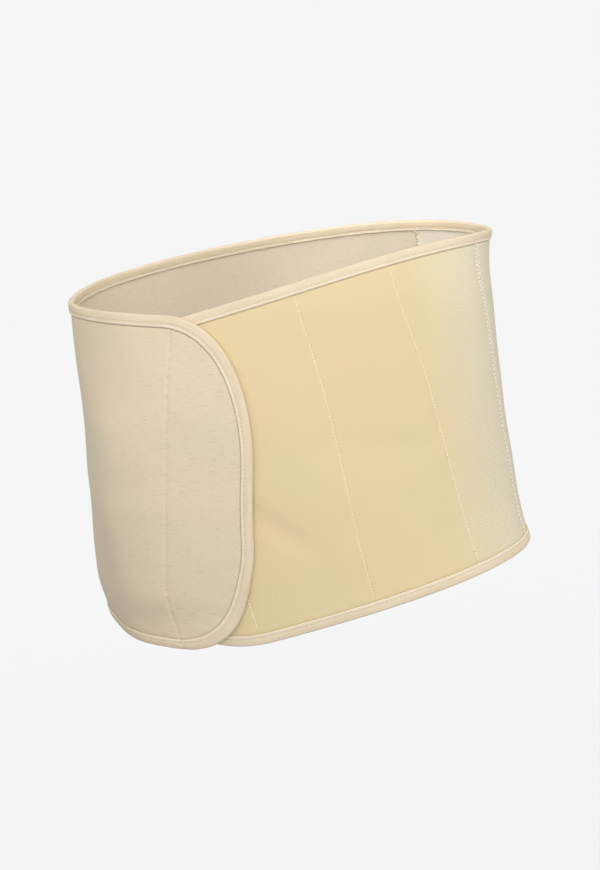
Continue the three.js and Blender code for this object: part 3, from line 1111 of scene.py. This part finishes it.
def on_faces(ends, out=half_wall + STITCH_RISE):
    """Runs of the same stitches on both faces of the cloth, down in their dent."""
    return [(*ends, out, face) for face in FACES]


runs = []
for i, line in enumerate(STITCH_LINES.values()):
    path = line_places(line, STITCH_END)
    runs += on_faces(running_stitches(path, SEEDS["front_stitches"] + i, FRONT_STITCH_GAP))
front_stitches = dress(make_stitches("front_stitches", runs), "plush_loop", thread)

ends = running_stitches(line_places(FLAP_LINE, STITCH_END), SEEDS["flap_stitches"], FLAP_STITCH_GAP)
flap_stitches = dress(make_stitches("flap_stitches", on_faces(ends)), "smooth_knit", muted_thread)

ends = zigzag_stitches(line_places(SEAM_SIDE, ZIGZAG_END), **SIDE_ZIGZAG)
seam_stitches = dress(make_stitches("seam_stitches", on_faces(ends)), "ribbed_elastic", seam_thread)

ends = zigzag_stitches(line_places(SEAM_BACK, ZIGZAG_END), **BACK_ZIGZAG)
back_stitches = dress(make_stitches("back_stitches", on_faces(ends)), "ribbed_elastic", tape_thread)

# The line of stitches in the tape's groove
TAPE_PATH_STEP = 0.7
TAPE_STITCH_DEPTH = 0.26
path = band_outline(TAPE_PATH_STEP)
path = path + square_to(path, closed=True) * TAPE_GROOVE
path = np.concatenate([path, path[:1]])
ends = running_stitches(path, SEEDS["tape_stitches"], TAPE_STITCH_GAP, TAPE_WOBBLE)
runs = on_faces(ends, TAPE_OUTER - TAPE_STITCH_DEPTH)
tape_stitches = dress(make_stitches("tape_stitches", runs), "binding_tape", tape_thread)

# The floor, the backdrop and the light

FLOOR_LEVEL = -0.60
FLOOR_RADIUS = 7.0
BACKDROP_RADIUS = 9.0
PALE = 0.92
FLOOR_COLOUR = (0.86, 0.86, 0.86, 1.0)

# The floor's share of even light, from near the object out to where it is all light
FLOOR_FADE = {"From Min": 0.2, "From Max": 1.3, "To Min": 0.9}


def backdrop_material():
    """An even pale light."""
    nodes = new_material("backdrop_pale", 1.0, 0.0, 0.0)
    nodes.tree.nodes.remove(nodes.shader)
    return nodes.surface(nodes.glow(PALE))


def floor_material():
    """A pale floor that runs out into the backdrop, so that no horizon shows."""
    nodes = new_material("floor_pale", 1.0, 0.0, 0.0)
    nodes.shader.inputs["Base Color"].default_value = FLOOR_COLOUR
    length = nodes.add("ShaderNodeVectorMath", operation="LENGTH")
    nodes.link(nodes.add("ShaderNodeTexCoord").outputs["Object"], length.inputs[0])
    share = nodes.add("ShaderNodeMapRange", FLOOR_FADE, interpolation_type="SMOOTHSTEP")
    nodes.link(length.outputs["Value"], share.inputs["Value"])
    mixed = nodes.add("ShaderNodeMixShader")
    nodes.link(share.outputs["Result"], mixed.inputs["Fac"])
    nodes.link(nodes.shader.outputs["BSDF"], mixed.inputs[1])
    nodes.link(nodes.glow(PALE), mixed.inputs[2])
    return nodes.surface(mixed.outputs[0])


bpy.ops.mesh.primitive_circle_add(vertices=96, radius=FLOOR_RADIUS, fill_type="NGON",
                                  location=(0, 0, FLOOR_LEVEL))
floor = bpy.context.object
floor.name = "floor"
floor.data.materials.append(floor_material())
bpy.ops.mesh.primitive_uv_sphere_add(segments=64, ring_count=32, radius=BACKDROP_RADIUS)
backdrop = bpy.context.object
backdrop.name = "backdrop"
backdrop.data.materials.append(backdrop_material())
for flag in ("visible_diffuse", "visible_glossy", "visible_shadow", "visible_transmission"):
    setattr(backdrop, flag, False)
floor.visible_diffuse = False

world = bpy.data.worlds.new("studio")
bpy.context.scene.world = world
world.use_nodes = True

# The soft light of the room comes mostly from one side, given as a direction
ROOM_COLOUR = (1.0, 0.99, 0.975, 1.0)
ROOM_LIGHT_FROM = (0.25, -0.64, 0.73)
ROOM_DARKEST = 0.10
ROOM_BRIGHTEST = 0.92
nodes = Nodes(world)
background = nodes.tree.nodes["Background"]
background.inputs["Color"].default_value = ROOM_COLOUR
toward = nodes.add("ShaderNodeVectorMath", {1: ROOM_LIGHT_FROM}, operation="DOT_PRODUCT")
nodes.link(nodes.add("ShaderNodeTexCoord").outputs["Generated"], toward.inputs[0])
strength = nodes.between(toward.outputs["Value"], -1.0, 1.0, ROOM_DARKEST, ROOM_BRIGHTEST)
nodes.link(strength, background.inputs["Strength"])


def add_light(name, kind, place, target, power, **settings):
    """A lamp at a place that shines towards a target."""
    data = bpy.data.lights.new(name, kind)
    data.energy = power
    for key, value in settings.items():
        setattr(data, key, value)
    lamp = new_object(name, data)
    lamp.location = place
    lamp.rotation_euler = (Vector(target) - Vector(place)).to_track_quat("-Z", "Y").to_euler()


MIDDLE = (0.0, 0.0, -0.14)
SPOT = {"spot_blend": 0.7, "shadow_soft_size": 0.06}
NARROW = math.radians(10)
WIDE = math.radians(17)
add_light("key", "AREA", (1.4, -1.85, 0.9), MIDDLE, 12.8, size=0.6)
add_light("front", "AREA", (-0.3, -2.3, 1.15), MIDDLE, 10.3, size=0.9)
add_light("left", "SPOT", (-0.75, -0.75, 0.75), (-0.155, -0.06, 0.0), 8.0, spot_size=WIDE, **SPOT)
add_light("side", "AREA", (2.1, -0.2, 0.8), MIDDLE, 2.5, size=1.0)
add_light("back", "AREA", (0.2, 2.4, -0.1), MIDDLE, 14.0, size=0.9)
add_light("inside", "SPOT", (-0.45, -1.1, 1.0), (0.10, 0.09, 0.015), 45.0, spot_size=NARROW, **SPOT)

bpy.context.scene.view_settings.view_transform = "Standard"

# The camera, as the photograph was taken

AZIMUTH = math.radians(5.607)
ELEVATION = math.radians(11.428)
ROLL = math.radians(9.062)
DISTANCE = 1.5
TARGET = Vector((0.003085, 0.0, -0.150987))
SENSOR = 36.0
FOCAL_PIXELS = 1899.4
IMAGE_WIDTH = 600

back = Vector((math.sin(AZIMUTH) * math.cos(ELEVATION),
               -math.cos(AZIMUTH) * math.cos(ELEVATION),
               math.sin(ELEVATION)))
right = Vector((math.cos(AZIMUTH), math.sin(AZIMUTH), 0.0))
up = back.cross(right)
camera_x = math.cos(ROLL) * right - math.sin(ROLL) * up
camera_y = math.sin(ROLL) * right + math.cos(ROLL) * up
camera_data = bpy.data.cameras.new("camera")
camera_data.sensor_fit = "HORIZONTAL"
camera_data.sensor_width = SENSOR
camera_data.lens = FOCAL_PIXELS * SENSOR / IMAGE_WIDTH
camera = new_object("camera", camera_data)
camera.matrix_world = Matrix.Translation(TARGET + DISTANCE * back) @ Matrix(
    (camera_x, camera_y, back)
).transposed().to_4x4()
bpy.context.scene.camera = camera
